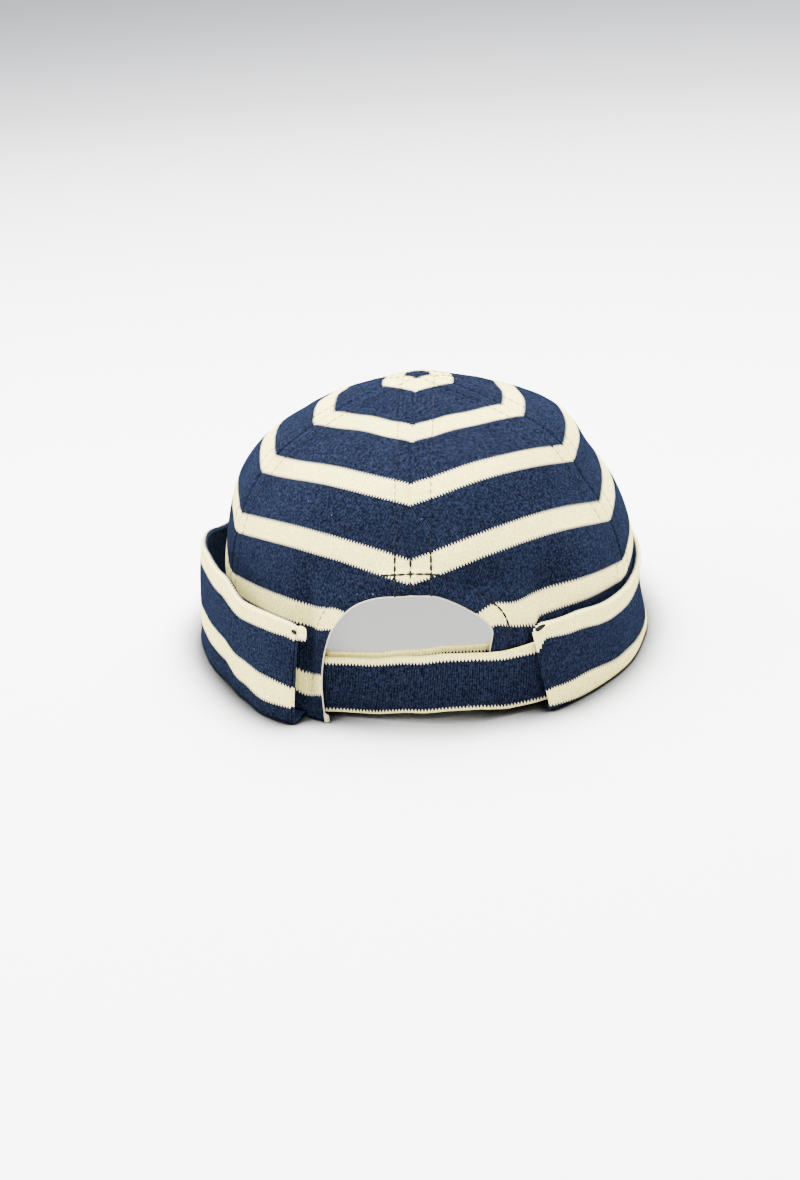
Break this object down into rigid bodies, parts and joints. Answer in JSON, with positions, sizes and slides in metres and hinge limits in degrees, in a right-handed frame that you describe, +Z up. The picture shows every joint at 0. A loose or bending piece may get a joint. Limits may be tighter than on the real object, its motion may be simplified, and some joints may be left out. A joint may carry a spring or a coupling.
{
  "type": "fisherman beanie (docker cap)",
  "caption": "Brimless close-fitting docker cap of striped cotton knit: sewn crown panels, turned-up cuff, arched back opening with straps, resting empty.",
  "frame": {"origin": "middle of the cap's outline on the surface it rests on", "axes": "+Z up through the crown; -Y is the back of the cap with its arch and straps; +X is the wearer's right"},
  "size_m": [0.1922, 0.1812, 0.1136],
  "materials": {
    "striped_knit": "heavy cotton jersey, matte, navy with cream stripes",
    "cream_edge": "cream cotton edge, matte",
    "strap_knit": "navy cotton knit with cream edges, matte"
  },
  "bodies": {
    "root": {"crown_panel_back_left": "striped_knit", "crown_panel_back_right": "striped_knit", "crown_panel_side_left": "striped_knit", "crown_panel_side_right": "striped_knit", "crown_panel_front_left": "striped_knit", "crown_panel_front_right": "striped_knit", "cuff": "striped_knit", "arch_binding": "cream_edge", "back_strap": "strap_knit", "inner_strap": "strap_knit"}
  },
  "joints": []
}
